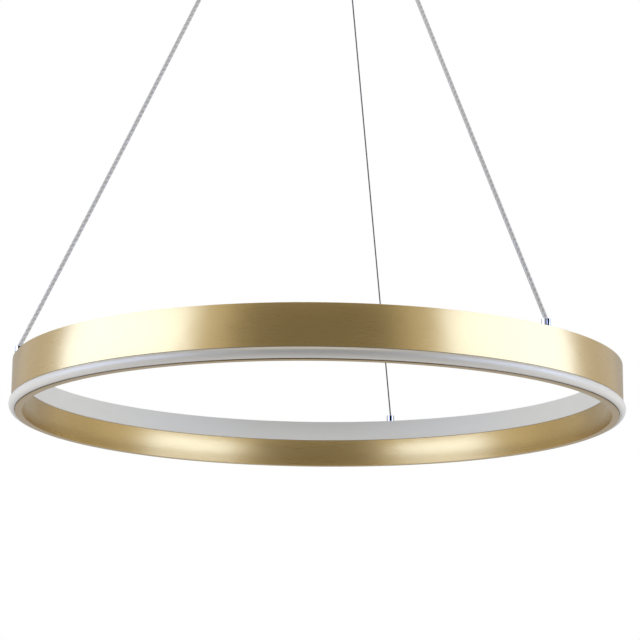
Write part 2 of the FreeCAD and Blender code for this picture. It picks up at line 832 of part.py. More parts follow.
def driver():
    """Constant-voltage driver on the canopy's floor: foam pad, case, and lid with a hood at each end."""
    half_long = S.driver_long.value / 2
    half_wide = S.driver_wide.value / 2
    inset = S.driver_pad_inset.value
    level = floor.value
    pad = primitive(
        "Box", "driver_pad",
        Length=S.driver_long - S.driver_pad_inset * 2,
        Width=S.driver_wide - S.driver_pad_inset * 2,
        Height=S.driver_pad,
    )
    place(pad, inset - half_long, inset - half_wide, level)
    level += S.driver_pad.value
    case = primitive("Box", "driver_case", Length=S.driver_long, Width=S.driver_wide, Height=S.case_high)
    place(case, -half_long, -half_wide, level)
    level += S.case_high.value
    plate = primitive("Box", "lid_plate", Length=S.driver_long, Width=S.driver_wide, Height=S.lid_high)
    pieces = [place(plate, -half_long, -half_wide, level)]
    for low_x, name in ((-half_long, "left"), (half_long - S.hood_long.value, "right")):
        hood = primitive(
            "Box", f"lid_hood_{name}",
            Length=S.hood_long, Width=S.driver_wide, Height=S.lid_high + S.hood_high,
        )
        pieces.append(place(hood, low_x, -half_wide, level))
    fuse("driver_lid", pieces)


def terminal_block():
    """Two-way terminal block for the mains: stepped moulding with a square entry through it for each core."""
    body = new_body("terminal_block")
    sketch = new_sketch(body, "YZ_Plane", "block_profile")
    half = S.block_wide / 2
    ledge = half - S.block_step
    step = S.block_sill * 2 + S.block_entry
    outline(sketch, [
        (-half, ZERO), (half, ZERO), (half, step), (ledge, step),
        (ledge, S.block_high), (-ledge, S.block_high), (-ledge, step), (-half, step),
    ])
    pad = body.newObject("PartDesign::Pad", "block")
    pad.Profile = sketch
    pad.setExpression("Length", S.block_long.text)
    pad.SideType = "Symmetric"
    doc.recompute()

    def entries(plan):
        wide = S.block_entry / 2
        for side in (-1, 1):
            middle = S.block_pitch / 2 * side
            outline(plan, [
                (middle - wide, S.block_sill), (middle + wide, S.block_sill),
                (middle + wide, S.block_sill + S.block_entry), (middle - wide, S.block_sill + S.block_entry),
            ], name=f"_{side + 1}")

    pocket = drill(body, "XZ_Plane", "core_entries", entries)
    pocket.SideType = "Symmetric"
    doc.recompute()
    return place(body, y=S.block_place.value, z=floor.value)


# ---------------------------------------------------------------- build and write

NODES = [
    "ring_frame", "inner_diffuser", "outer_diffuser", "inner_led_board", "outer_led_board",
    "inner_led_chips", "outer_led_chips", "splice_plate",
    "anchor_caps", "anchor_nuts", "ring_leads",
    "ceiling_bracket", "canopy_cup", "cover_screws",
    "gripper_barrels", "gripper_nuts",
    "gripper_collet_back", "gripper_collet_left", "gripper_collet_right",
    "conductor_left", "conductor_right", "steel_wire_back",
    "conductor_ends", "steel_wire_end",
    "driver_pad", "driver_case", "driver_lid", "terminal_block",
]

build_ring()
splice()
build_anchors()
ceiling_bracket()
canopy_cup()
cover_screws()
build_grippers()
build_wires()
driver()
terminal_block()
doc.recompute()

for item in doc.Objects:
    if "Invalid" in item.State or "Error" in item.State:
        raise RuntimeError(f"{item.Label} failed: {item.State}")

os.makedirs("parts", exist_ok=True)
for label in NODES:
    shape = doc.getObjectsByLabel(label)[0].Shape
    if shape.isNull() or not shape.isValid():
        raise RuntimeError(f"{label} has no sound shape")
    shape.exportStep(f"parts/{label}.step")
    print(f"{label}: {len(shape.Solids)} solids, {shape.Volume:.1f} mm3")
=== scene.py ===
import math

import bmesh
import bpy
from mathutils import Matrix, Vector


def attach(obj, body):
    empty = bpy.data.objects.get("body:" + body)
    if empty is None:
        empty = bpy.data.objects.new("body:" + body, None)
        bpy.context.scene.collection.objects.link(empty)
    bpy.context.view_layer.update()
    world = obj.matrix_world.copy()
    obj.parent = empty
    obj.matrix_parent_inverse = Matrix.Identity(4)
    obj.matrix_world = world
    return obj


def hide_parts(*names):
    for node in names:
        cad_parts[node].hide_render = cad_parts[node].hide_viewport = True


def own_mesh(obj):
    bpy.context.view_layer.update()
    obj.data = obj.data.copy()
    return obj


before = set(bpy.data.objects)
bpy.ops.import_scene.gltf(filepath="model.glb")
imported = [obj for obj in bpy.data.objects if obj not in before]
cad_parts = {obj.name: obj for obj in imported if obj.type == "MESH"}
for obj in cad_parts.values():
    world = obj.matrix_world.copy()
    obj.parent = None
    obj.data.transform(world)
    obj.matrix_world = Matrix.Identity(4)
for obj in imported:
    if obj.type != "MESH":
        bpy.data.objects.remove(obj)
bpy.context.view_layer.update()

MM = 0.001
ON_AXIS = 1e-6                 # an outline's point with a smaller radius is on the axis
STRAIGHT = math.radians(176)   # a corner wider than this isn't rounded

# ---------------------------------------------------------------- sizes, in millimetres

# ring
RING_R = 300.0                 # outer face of the gilt band
RING_IN = 289.0                # its inner face
RING_H = 49.4
RING_Z = -494.0                # its top face
RING_SEGMENTS = 720
WALL = 1.5                     # thickness of the gilt walls
OUTER_BAND = 38.7              # gilt outer wall, from the top
STRIP = 20.9                   # inner light band, from the top
LIP = 7.0                      # flat metal underside
LIP_EDGE = 1.0                 # of the lip's edge, showing below the lens
GILT_ROUND = 0.12              # rounding of the gilt edges

# light bands
FIT = 0.3                      # between a band and the metal beside it
LEG = 1.2                      # thickness of the snap legs
SKIN = 2.0                     # thickness of the inner band
PROUD = 0.6                    # how far it stands in from the gilt inner wall
FOOT = 1.8                     # its snap leg over the middle web
OPAL_ROUND = 0.4               # rounding of its edges
LENS_BULGE = 4.14              # height of the lens's round face over its chord
LENS_STEPS = 28
LENS_TOE = 1.0                 # height of the lens's edge beside the lip
LENS_LEG = 3.0                 # its snap leg, up behind the gilt outer wall

# wire fixings on the ring
ANCHOR_R = 295.5
TURNS = {"back": 73.9, "left": 193.9, "right": 313.9}
CAP_R = 4.2
CAP_H = 7.0
CAP_BEVEL = 0.5                # rounding of the top edge
CAP_FOOT = 0.3                 # plain metal below the slot
CAP_SEGMENTS = 64
STUD_R = 1.5
STUD_END = -5.0                # from the ring's top face
SLOT_DEPTH = 1.8               # of the slot in each fixing's side
SLOT_HALF = math.radians(15)   # half its width, seen from the fixing's middle
SLOT_TURNS = {"back": -90.0, "left": -84.0, "right": -66.0}

# canopy
CANOPY_R = 118.0
CANOPY_H = 40.0
CANOPY_SEGMENTS = 288
TWIST = 2.6                    # canopy turned clockwise from the ring, degrees
SHEET = 1.2
BEND = 3.0                     # between the canopy's bottom and its side
BEND_ROUND = 1.6
RIM_ROLL = 0.8                 # rolled edge at the ceiling
EXIT_R = 101.0                 # circle of the wires' exits
NECK_HOLE = 6.7                # radius
SCREW_HOLE = 2.2               # radius
SCREW_LEVEL = 10.0             # of the cover screws, below the ceiling
HOLE_SIDES = 48

# conductors and wire
MOUTH_Z = -56.0                # grippers' mouths
CAP_Z = RING_Z + CAP_H         # fixings' tops
CORD_R = 2.1
CORD_SIDES = 24
CORD_STEPS = 120
BOWS = {"left": 2.6, "right": -0.6}    # sideways move of each route's middle control point
BRAID_STRANDS = 2              # repeats of the braid round the sheath
BRAID_PITCH = 5.6
WIRE_R = 0.75
WIRE_STEPS = 300
WIRE_STRANDS = 6
WIRE_LAY = 11.0                # length of one turn of the strands
WIRE_GROOVE = 0.12             # depth between strands, as a share of the radius

# ---------------------------------------------------------------- camera and studio, in metres

LENS = 125.05                  # millimetres, as is the sensor's width
SENSOR = 36.0
SPOT = Vector((0.0, -2.1624, -0.9297))
PITCH = math.radians(12.706)
ROLL = math.radians(0.566)
YAW = math.radians(0.05)

FLOOR_Z = -3.6                 # far enough down for views from below
FLOOR_R = 9.0
FLOOR_TONE = 0.86
FLOOR_SHARE = 0.75             # of plain white in the floor's look, below the object
FLOOR_EDGE = 0.5               # plain white strip at the floor's rim
DIM_SKY = 0.33                 # the white background's strength as a light

FRONT_FLAG = {"half_wide": 28.0, "distance": 2.5, "heights": (-1.3, 1.1), "level": 0.33}
SIDE_CARD = {"half_wide": 18.0, "distance": 3.6, "heights": (-2.3, 2.0), "level": 0.84}
SIDE_TURN = 124.0              # of its middle from the camera's side, in degrees
REAR_CARD = {"half_wide": 19.0, "distance": 3.6, "heights": (-2.3, 2.0), "level": 0.56}
REAR_TURN = 161.0
CARD_STEPS = 16

# these stand on the right, and are mirrored for the left
SOFTBOX_SPOT = (0.664, -0.365, -0.38)
SOFTBOX_AIM = (-0.282, -0.061, -0.38)
SOFTBOX_SIZE = (0.70, 0.50)
SOFTBOX_GLOW = 3.6
SOFTBOX_TINT = (0.74, 0.98, 1.86)
FILL_SPOT = (1.5, -0.3, -1.0)
FILL_AIM = (0.0, 0.0, -0.5)
FILL_SIZE = (0.9, 0.9)
FILL_POWER = 15.0

FRONT_SPOT = (0.0, -1.2, 2.4)
FRONT_AIM = (0.0, 0.1, -0.5)
FRONT_SIZE = (1.8, 0.8)
FRONT_POWER = 24.0


def polar(radius, turn, z=0.0):
    angle = math.radians(turn)
    return Vector((radius * math.cos(angle), radius * math.sin(angle), z))


def put(name, data):
    """Object that holds the data, in the scene."""
    item = bpy.data.objects.new(name, data)
    bpy.context.collection.objects.link(item)
    return item


def make_camera():
    ahead = Vector((
        math.sin(YAW) * math.cos(PITCH), math.cos(YAW) * math.cos(PITCH), math.sin(PITCH),
    ))
    level = Vector((math.cos(YAW), -math.sin(YAW), 0.0))
    upright = level.cross(ahead)
    right = math.cos(ROLL) * level + math.sin(ROLL) * upright
    up = math.cos(ROLL) * upright - math.sin(ROLL) * level
    data = bpy.data.cameras.new("camera")
    data.lens = LENS
    data.sensor_width = SENSOR
    camera = put("camera", data)
    camera.matrix_world = Matrix((
        (right.x, up.x, -ahead.x, SPOT.x),
        (right.y, up.y, -ahead.y, SPOT.y),
        (right.z, up.z, -ahead.z, SPOT.z),
        (0.0, 0.0, 0.0, 1.0),
    ))
    bpy.context.scene.camera = camera


# ---------------------------------------------------------------- mesh helpers

def add_mesh(name, points, faces, material, smooth_angle=30.0):
    """Object from points in millimetres, shaded smooth but for edges over an angle."""
    mesh = bpy.data.meshes.new(name)
    mesh.from_pydata([Vector(p) * MM for p in points], [], faces)
    mesh.materials.append(material)
    for polygon in mesh.polygons:
        polygon.use_smooth = True
    bm = bmesh.new()
    bm.from_mesh(mesh)
    bmesh.ops.recalc_face_normals(bm, faces=bm.faces)
    bm.to_mesh(mesh)
    bm.free()
    mesh.set_sharp_from_angle(angle=math.radians(smooth_angle))
    return put(name, mesh)


def softened(outline, radius, steps=3):
    """Closed outline with each corner rounded by a small arc, but for corners on the axis."""
    points = []
    count = len(outline)
    for k in range(count):
        here = Vector(outline[k])
        back = Vector(outline[k - 1]) - here
        on = Vector(outline[(k + 1) % count]) - here
        bend = back.angle(on)
        if here.x < ON_AXIS or bend > STRAIGHT:
            points.append(tuple(here))
            continue
        room = min(back.length, on.length) * 0.45
        reach = min(radius / math.tan(bend / 2), room)
        round_by = reach * math.tan(bend / 2)
        middle = (back.normalized() + on.normalized()).normalized()
        centre = here + middle * (round_by / math.sin(bend / 2))
        first = here + back.normalized() * reach - centre
        last = here + on.normalized() * reach - centre
        turn = first.angle_signed(last)
        for step in range(steps + 1):
            angle = -turn * step / steps
            spin = Vector((
                first.x * math.cos(angle) - first.y * math.sin(angle),
                first.x * math.sin(angle) + first.y * math.cos(angle),
            ))
            points.append(tuple(centre + spin))
    return points


def lathe(name, outline, segments, material, body, centre):
    """Solid of revolution about an upright axis, from a closed (radius, height) outline."""
    points = []
    rings = []
    for radius, height in outline:
        if radius < ON_AXIS:
            rings.append([len(points)])
            points.append((centre[0], centre[1], centre[2] + height))
            continue
        rings.append(list(range(len(points), len(points) + segments)))
        for k in range(segments):
            angle = 2 * math.pi * k / segments
            points.append((
                centre[0] + radius * math.cos(angle),
                centre[1] + radius * math.sin(angle),
                centre[2] + height,
            ))
    faces = []
    for k, ring in enumerate(rings):
        after = rings[(k + 1) % len(rings)]
        if len(ring) == 1 and len(after) == 1:
            continue
        for i in range(segments):
            j = (i + 1) % segments
            if len(ring) == 1:
                faces.append((ring[0], after[j], after[i]))
            elif len(after) == 1:
                faces.append((ring[i], ring[j], after[0]))
            else:
                faces.append((ring[i], ring[j], after[j], after[i]))
    item = add_mesh(name, points, faces, material)
    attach(item, body)
    return item


def rod(length, radius, place):
    """Round bar about the z axis of a placing matrix, as a tool for cutting a hole."""
    bm = bmesh.new()
    bmesh.ops.create_cone(
        bm, cap_ends=True, segments=HOLE_SIDES, radius1=radius * MM, radius2=radius * MM,
        depth=length * MM, matrix=place,
    )
    mesh = bpy.data.meshes.new("rod")
    bm.to_mesh(mesh)
    bm.free()
    return put("rod", mesh)


def pierce(item, tools):
    """Cuts the tools out of a piece, and removes them."""
    for tool in tools:
        cut = item.modifiers.new("cut", "BOOLEAN")
        cut.operation = "DIFFERENCE"
        cut.solver = "EXACT"
        cut.object = tool
    bpy.context.view_layer.update()
    shown = item.evaluated_get(bpy.context.evaluated_depsgraph_get())
    cut_mesh = bpy.data.meshes.new_from_object(shown)
    item.modifiers.clear()
    item.data = cut_mesh
    for tool in tools:
        bpy.data.objects.remove(tool)
    cut_mesh.set_sharp_from_angle(angle=math.radians(30))


# ---------------------------------------------------------------- materials

def new_material(name, **settings):
    """Principled material, with its node tree and shader."""
    material = bpy.data.materials.new(name)
    material.use_nodes = True
    tree = material.node_tree
    shader = tree.nodes["Principled BSDF"]
    for socket, amount in settings.items():
        shader.inputs[socket.replace("_", " ")].default_value = amount
    return material, tree, shader


def node(tree, kind, links=(), **settings):
    """Node with its properties or sockets set, and links given as (socket, source socket)."""
    item = tree.nodes.new(kind)
    for key, amount in settings.items():
        if hasattr(item, key):
            setattr(item, key, amount)
        else:
            item.inputs[key.replace("_", " ")].default_value = amount
    for socket, source in links:
        tree.links.new(source, item.inputs[socket])
    return item


def maths(tree, operation, *terms):
    """Result of a maths node on terms that are sockets or numbers."""
    item = node(tree, "ShaderNodeMath", operation=operation)
    for place, term in enumerate(terms):
        if isinstance(term, float):
            item.inputs[place].default_value = term
        else:
            tree.links.new(term, item.inputs[place])
    return item.outputs[0]


def band(tree, factor, low, high, start=0.0, end=1.0):
    """Factor between start and end, taken to low..high."""
    item = node(tree, "ShaderNodeMapRange", [("Value", factor)])
    item.inputs["From Min"].default_value = start
    item.inputs["From Max"].default_value = end
    item.inputs["To Min"].default_value = low
    item.inputs["To Max"].default_value = high
    return item.outputs["Result"]


def shades(tree, factor, first, last):
    """Colour between two, by a factor."""
    ramp = node(tree, "ShaderNodeValToRGB", [("Fac", factor)])
    ramp.color_ramp.elements[0].color = (*first, 1.0)
    ramp.color_ramp.elements[1].color = (*last, 1.0)
    return ramp.outputs["Color"]


def noise(tree, scale, detail):
    """Noise over the object, with its own scale along each axis."""
    place = node(tree, "ShaderNodeTexCoord")
    move = node(tree, "ShaderNodeMapping", [("Vector", place.outputs["Object"])])
    move.inputs["Scale"].default_value = scale
    cloud = node(
        tree, "ShaderNodeTexNoise", [("Vector", move.outputs["Vector"])], Scale=1.0, Detail=detail,
    )
    return cloud.outputs["Fac"]


def toned(tree, shader, factor, base, less, more):
    """Base colour between two shades of one colour."""
    darker = tuple(c * less for c in base)
    lighter = tuple(min(1.0, c * more) for c in base)
    tree.links.new(shades(tree, factor, darker, lighter), shader.inputs["Base Color"])


def roughened(tree, shader, factor, low, high):
    tree.links.new(band(tree, factor, low, high), shader.inputs["Roughness"])


def bumped(tree, height, strength, distance, normal=None):
    """Normal after a bump, on top of another bump's where one is given."""
    links = [("Height", height)]
    if normal:
        links.append(("Normal", normal))
    item = node(tree, "ShaderNodeBump", links, Strength=strength, Distance=distance)
    return item.outputs["Normal"]


def gilt(name, base, roughness, grain=(25.0, 25.0, 1100.0)):
    """Gold finish on metal: fine grain, slow changes of tone and a slightly uneven face."""
    material, tree, shader = new_material(
        name, Metallic=1.0, Coat_Weight=0.25, Coat_Roughness=0.22,
    )
    fine = noise(tree, grain, 4.0)
    slow = noise(tree, (9.0, 9.0, 14.0), 3.0)
    toned(tree, shader, slow, base, 0.93, 1.06)
    roughened(tree, shader, fine, roughness * 0.9, roughness * 1.12)
    scratch = bumped(tree, fine, 0.01, 0.0002)
    wave = bumped(tree, slow, 0.25, 0.003, scratch)
    tree.links.new(wave, shader.inputs["Normal"])
    return material


def plastic(name, base, roughness, mottle=0.03, scale=140.0, **settings):
    """Moulded plastic with a faint mottle and a fine skin."""
    material, tree, shader = new_material(name, **settings)
    cloud = noise(tree, (scale,) * 3, 4.0)
    toned(tree, shader, cloud, base, 1 - mottle, 1 + mottle)
    roughened(tree, shader, cloud, roughness * 0.85, roughness * 1.15)
    tree.links.new(bumped(tree, cloud, 0.05, 0.0003), shader.inputs["Normal"])
    return material


def metal(name, base, roughness, strength=0.05):
    """Plain metal with fine turning marks."""
    material, tree, shader = new_material(name, Metallic=1.0)
    marks = noise(tree, (900.0, 900.0, 40.0), 3.0)
    toned(tree, shader, marks, base, 0.92, 1.05)
    roughened(tree, shader, marks, roughness * 0.7, roughness * 1.3)
    tree.links.new(bumped(tree, marks, strength, 0.0002), shader.inputs["Normal"])
    return material


def braided_sheath():
    """Grey braid under a thin clear skin; u counts strands round the cord, v pitches along it."""
    material, tree, shader = new_material(
        "sheath_braid", Roughness=0.4, Coat_Weight=0.25, Coat_Roughness=0.2,
        Specular_IOR_Level=0.3,
    )
    place = node(tree, "ShaderNodeUVMap", uv_map="braid")
    apart = node(tree, "ShaderNodeSeparateXYZ", [("Vector", place.outputs["UV"])])
    strands = []
    for way in ("ADD", "SUBTRACT"):
        slant = maths(tree, way, apart.outputs["X"], apart.outputs["Y"])
        strands.append(maths(tree, "SINE", maths(tree, "MULTIPLY", slant, 2 * math.pi)))
    under = maths(tree, "MULTIPLY", strands[0], 0.25)
    weave = maths(tree, "MAXIMUM", strands[1], under)
    factor = band(tree, weave, 0.0, 1.0, -0.6, 1.0)
    tree.links.new(
        shades(tree, factor, (0.54, 0.54, 0.545), (0.84, 0.84, 0.84)), shader.inputs["Base Color"],
    )
    tree.links.new(bumped(tree, factor, 0.5, 0.0003), shader.inputs["Normal"])
    return material


GILT = (0.47, 0.325, 0.12)
GOLD = gilt("gilt_metal", GILT, 0.28)
GOLD_CANOPY = gilt("gilt_canopy", GILT, 0.33, grain=(700.0, 700.0, 700.0))
# both bands are the same opal; the lens's lower tone is painted shade for its downward face
OPAL = plastic(
    "opal", (0.665, 0.665, 0.665), 0.36, mottle=0.015, scale=60.0,
    Specular_IOR_Level=1.0, Specular_Tint=(1.0, 0.79, 0.36, 1.0),
)
OPAL_INNER = plastic(
    "opal_inner", (0.82, 0.825, 0.815), 0.45, mottle=0.015, scale=60.0, Specular_IOR_Level=0.3,
)
CHROME = metal("chrome", (0.58, 0.58, 0.59), 0.09, strength=0.02)
# darker gilt for the lip's edge face under the lens: painted shade for the gap there
SHADED_LIP_FACE = gilt("gilt_painted_shade", (0.20, 0.14, 0.065), 0.6)
# near black inside each fixing's slot: painted shade
SLOT_SHADE = metal("slot_painted_shade", (0.03, 0.03, 0.03), 0.6)
STEEL = metal("steel", (0.46, 0.46, 0.47), 0.32)
STRAND = plastic(
    "wire_strand", (0.12, 0.12, 0.122), 0.45, mottle=0.15, scale=900.0, Specular_IOR_Level=0.3,
)
BARE = metal("bare_aluminium", (0.72, 0.72, 0.73), 0.4)
BOARD = plastic("board", (0.84, 0.84, 0.82), 0.5)
LAMP = plastic("lamp", (0.88, 0.78, 0.36), 0.4)
SHEATH_WHITE = plastic("sheath_white", (0.82, 0.82, 0.81), 0.45)
FOAM = plastic("foam", (0.05, 0.05, 0.05), 0.95, mottle=0.3, scale=600.0)
DRIVER = plastic("driver_plastic", (0.80, 0.80, 0.79), 0.5, mottle=0.02)
TERMINAL = plastic("terminal_plastic", (0.78, 0.77, 0.72), 0.4)
SHEATH = braided_sheath()

# ---------------------------------------------------------------- taut conductors and steel wire

def route_line(points, steps):
    """Points along the smooth line of a route's control points."""
    curve = bpy.data.curves.new("route", "CURVE")
    curve.dimensions = "3D"
    curve.resolution_u = steps
    spline = curve.splines.new("NURBS")
    spline.points.add(len(points) - 1)
    for spot, knot in zip(points, spline.points):
        knot.co = (*(spot * MM), 1.0)
    spline.order_u = 3
    spline.use_endpoint_u = True
    holder = put("route", curve)
    bpy.context.view_layer.update()
    line = bpy.data.meshes.new_from_object(holder)
    found = [vertex.co / MM for vertex in line.vertices]
    bpy.data.objects.remove(holder)
    bpy.data.curves.remove(curve)
    bpy.data.meshes.remove(line)
    return found


def taut_cord(name, side, thickness, facts, steps, bow=0.0):
    """Free stretch from a gripper's mouth to the fixing on the ring, cut level at both ends.

    Its radius is a function of the turn round it and the place along it.
    """
    low = polar(ANCHOR_R, TURNS[side], CAP_Z)
    high = polar(EXIT_R, TURNS[side] - TWIST, MOUTH_Z)
    line = route_line([high, (low + high) / 2 + Vector((bow, 0.0, 0.0)), low], steps)
    ahead = (high - low).normalized()
    across = ahead.cross(Vector((0, 0, 1))).normalized()
    third = ahead.cross(across)
    points = []
    for k, spot in enumerate(line):
        along = (spot - low).length
        for i in range(CORD_SIDES):
            angle = 2 * math.pi * i / CORD_SIDES
            out = (across * math.cos(angle) + third * math.sin(angle)) * thickness(angle, along)
            if k in (0, len(line) - 1):
                out = out - ahead * (out.z / ahead.z)
            points.append(spot + out)
    faces = []
    for k in range(len(line) - 1):
        here = k * CORD_SIDES
        on = here + CORD_SIDES
        for i in range(CORD_SIDES):
            j = (i + 1) % CORD_SIDES
            faces.append((here + i, here + j, on + j, on + i))
    last = (len(line) - 1) * CORD_SIDES
    faces.append(tuple(range(CORD_SIDES)))
    faces.append(tuple(range(last, last + CORD_SIDES)))
    item = add_mesh(name, points, faces, facts["material"], 60.0)
    wrap_braid(item, low, ahead, across, third)
    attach(item, "canopy")
    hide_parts(facts["stands_for"])
    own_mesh(item)


def wrap_braid(item, low, ahead, across, third):
    """UV map with strands of braid round the cord in u, and pitches along it in v."""
    layer = item.data.uv_layers.new(name="braid")
    for polygon in item.data.polygons:
        turns = []
        for loop in polygon.loop_indices:
            spot = item.data.vertices[item.data.loops[loop].vertex_index].co / MM - low
            turn = math.atan2(spot.dot(third), spot.dot(across)) / (2 * math.pi)
            turns.append((loop, turn, spot.dot(ahead)))
        top = max(turn for _, turn, _ in turns)
        for loop, turn, along in turns:
            if top - turn > 0.5:
                turn += 1.0
            layer.data[loop].uv = (turn * BRAID_STRANDS, along / BRAID_PITCH)


def round_section(turn, along):
    return CORD_R


def stranded_section(turn, along):
    lay = 2 * math.pi * along / WIRE_LAY
    ridge = abs(math.cos(WIRE_STRANDS / 2 * (turn + lay)))
    return WIRE_R * (1 - WIRE_GROOVE + WIRE_GROOVE * ridge)


def make_wires():
    for side, bow in BOWS.items():
        taut_cord(
            f"sheathed_conductor_{side}", side, round_section,
            {
                "material": SHEATH, "stands_for": f"conductor_{side}", "slot": "sheath_clear",
                "diameter": 2 * CORD_R,
            },
            CORD_STEPS, bow,
        )
    taut_cord(
        "stranded_wire_back", "back", stranded_section,
        {
            "material": STRAND, "stands_for": "steel_wire_back", "slot": "steel",
            "diameter": 2 * WIRE_R,
        },
        WIRE_STEPS,
    )


make_camera()
make_wires()

# ---------------------------------------------------------------- ring

def make_ring_shell():
    """The gilt extrusion with softened edges; the lip's edge face under the lens is painted shade.
    """
    outer_in = RING_R - WALL
    inner_out = RING_IN + WALL
    lip_edge = RING_IN + LIP
    flange = RING_IN + SKIN + FIT
    shell = softened([
        (RING_R, 0.0), (RING_R, -OUTER_BAND), (outer_in, -OUTER_BAND), (outer_in, -STRIP - WALL),
        (inner_out, -STRIP - WALL), (inner_out, WALL - RING_H), (lip_edge, WALL - RING_H),
        (lip_edge, -RING_H), (RING_IN, -RING_H), (RING_IN, -STRIP), (outer_in, -STRIP),
        (outer_in, -WALL), (flange, -WALL), (flange, 0.0),
    ], GILT_ROUND)
    item = lathe("ring_shell", shell, RING_SEGMENTS, GOLD, "ring", (0, 0, RING_Z))
    item.data.materials.append(SHADED_LIP_FACE)
    for polygon in item.data.polygons:
        out = Vector(polygon.center.xy).length / MM
        height = polygon.center.z / MM - RING_Z
        # painted shade: the lip's edge face gets the darker gilt
        if abs(out - lip_edge) < GILT_ROUND / 2 and height < WALL - RING_H:
            polygon.material_index = 1
    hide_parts("ring_frame")


def make_inner_band():
    """Opal band on the ring's inner face, with its snap foot."""
    front = RING_IN - PROUD
    back = RING_IN + SKIN
    foot = -STRIP + FIT
    inner = softened([
        (front, 0.0), (front, foot), (back + FOOT, foot), (back + FOOT, foot + LEG),
        (back, foot + LEG), (back, 0.0),
    ], OPAL_ROUND)
    item = lathe("inner_opal_band", inner, RING_SEGMENTS, OPAL_INNER, "ring", (0, 0, RING_Z))
    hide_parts("inner_diffuser")


def make_lens():
    """Opal lens below the gilt outer wall, its face an arc from the wall to the lip's edge."""
    top = -OUTER_BAND - FIT
    low = -RING_H + LIP_EDGE
    edge = RING_IN + LIP + FIT
    behind = RING_R - WALL - FIT
    first = Vector((RING_R, top))
    last = Vector((edge, low))
    half = (last - first).length / 2
    radius = (half ** 2 + LENS_BULGE ** 2) / (2 * LENS_BULGE)
    way = (last - first).normalized()
    out = Vector((-way.y, way.x))
    if out.x < 0:
        out = -out
    centre = (first + last) / 2 - out * (radius - LENS_BULGE)
    begin = math.atan2(first.y - centre.y, first.x - centre.x)
    finish = math.atan2(last.y - centre.y, last.x - centre.x)
    lens = []
    for k in range(LENS_STEPS + 1):
        angle = begin + (finish - begin) * k / LENS_STEPS
        lens.append((centre.x + radius * math.cos(angle), centre.y + radius * math.sin(angle)))
    lens += [
        (edge, low + LENS_TOE), (behind - LEG, top + LENS_LEG), (behind, top + LENS_LEG),
        (behind, top),
    ]
    item = lathe("outer_opal_lens", lens, RING_SEGMENTS, OPAL, "ring", (0, 0, RING_Z))
    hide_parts("outer_diffuser")


def make_caps():
    """Turned wire fixings with a rounded top edge, each with a slot down one side in painted
    shade.
    """
    outline = [
        (0.0, CAP_H), (CAP_R - CAP_BEVEL, CAP_H),
        (CAP_R - 0.4 * CAP_BEVEL, CAP_H - 0.2 * CAP_BEVEL), (CAP_R, CAP_H - 0.8 * CAP_BEVEL),
        (CAP_R, CAP_FOOT), (CAP_R, 0.0), (STUD_R, 0.0), (STUD_R, STUD_END), (0.0, STUD_END),
    ]
    for side, turn in TURNS.items():
        spot = polar(ANCHOR_R, turn, RING_Z)
        item = lathe(f"wire_fixing_{side}", outline, CAP_SEGMENTS, CHROME, "ring", spot)
        item.data.materials.append(SLOT_SHADE)
        cut_slot(item, spot, SLOT_TURNS[side])
        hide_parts("anchor_caps")


def set_order(bm):
    """Puts the parts of a mesh in the order of their places, so that each run gives the same."""
    ways = Vector((1.0, 3.1, 7.3))  # uneven, so that no two places come out level
    bm.verts.sort(key=lambda vert: vert.co.dot(ways))
    for parts in (bm.edges, bm.faces):
        parts.sort(key=lambda part: sum(vert.co.dot(ways) for vert in part.verts))


def cut_slot(item, spot, turn):
    """Pushes a narrow upright part of a fixing's wall inwards, and paints it near black as shade.
    """
    face_on = polar(1.0, turn)
    bm = bmesh.new()
    bm.from_mesh(item.data)
    wall = []
    for face in bm.faces:
        middle = face.calc_center_median() / MM - spot
        flat = Vector((middle.x, middle.y, 0.0))
        on_wall = flat.length > 0.98 * CAP_R and 0.1 * CAP_H < middle.z < 0.9 * CAP_H
        if on_wall and flat.angle(face_on) < SLOT_HALF:
            wall.append(face)
    pushed = bmesh.ops.extrude_face_region(bm, geom=wall)
    bmesh.ops.delete(bm, geom=wall, context="FACES")
    moved = [part for part in pushed["geom"] if isinstance(part, bmesh.types.BMVert)]
    bmesh.ops.translate(bm, verts=moved, vec=face_on * (-SLOT_DEPTH * MM))
    # the slot's faces get the near-black painted shade
    for vert in moved:
        for face in vert.link_faces:
            face.material_index = 1
    bmesh.ops.recalc_face_normals(bm, faces=bm.faces)
    set_order(bm)
    bm.to_mesh(item.data)
    bm.free()


# ---------------------------------------------------------------- canopy

def make_canopy():
    """Spun cup with a rounded lower edge, a rolled rim, and holes for grippers and screws."""
    inside = CANOPY_R - SHEET
    cup = softened([
        (0.0, 0.0), (CANOPY_R - BEND, 0.0), (CANOPY_R, BEND), (CANOPY_R, CANOPY_H - RIM_ROLL),
        (CANOPY_R - RIM_ROLL / 2, CANOPY_H), (inside, CANOPY_H), (inside, BEND + SHEET * 0.4),
        (CANOPY_R - BEND - SHEET * 0.6, SHEET), (0.0, SHEET),
    ], BEND_ROUND, 5)
    item = lathe("canopy_shell", cup, CANOPY_SEGMENTS, GOLD_CANOPY, "canopy", (0, 0, -CANOPY_H))
    tools = []
    through_bottom = 10 * SHEET
    for turn in TURNS.values():
        spot = polar(EXIT_R, turn - TWIST, -CANOPY_H) * MM
        tools.append(rod(through_bottom, NECK_HOLE, Matrix.Translation(spot)))
    through_both_sides = 2.2 * CANOPY_R
    level = Matrix.Translation((0.0, 0.0, -SCREW_LEVEL * MM))
    along_x = Matrix.Rotation(math.radians(90), 4, "Y")
    tools.append(rod(through_both_sides, SCREW_HOLE, level @ along_x))
    pierce(item, tools)
    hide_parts("canopy_cup")


make_ring_shell()
make_inner_band()
make_lens()
make_caps()
make_canopy()

# ---------------------------------------------------------------- materials on the CAD pieces

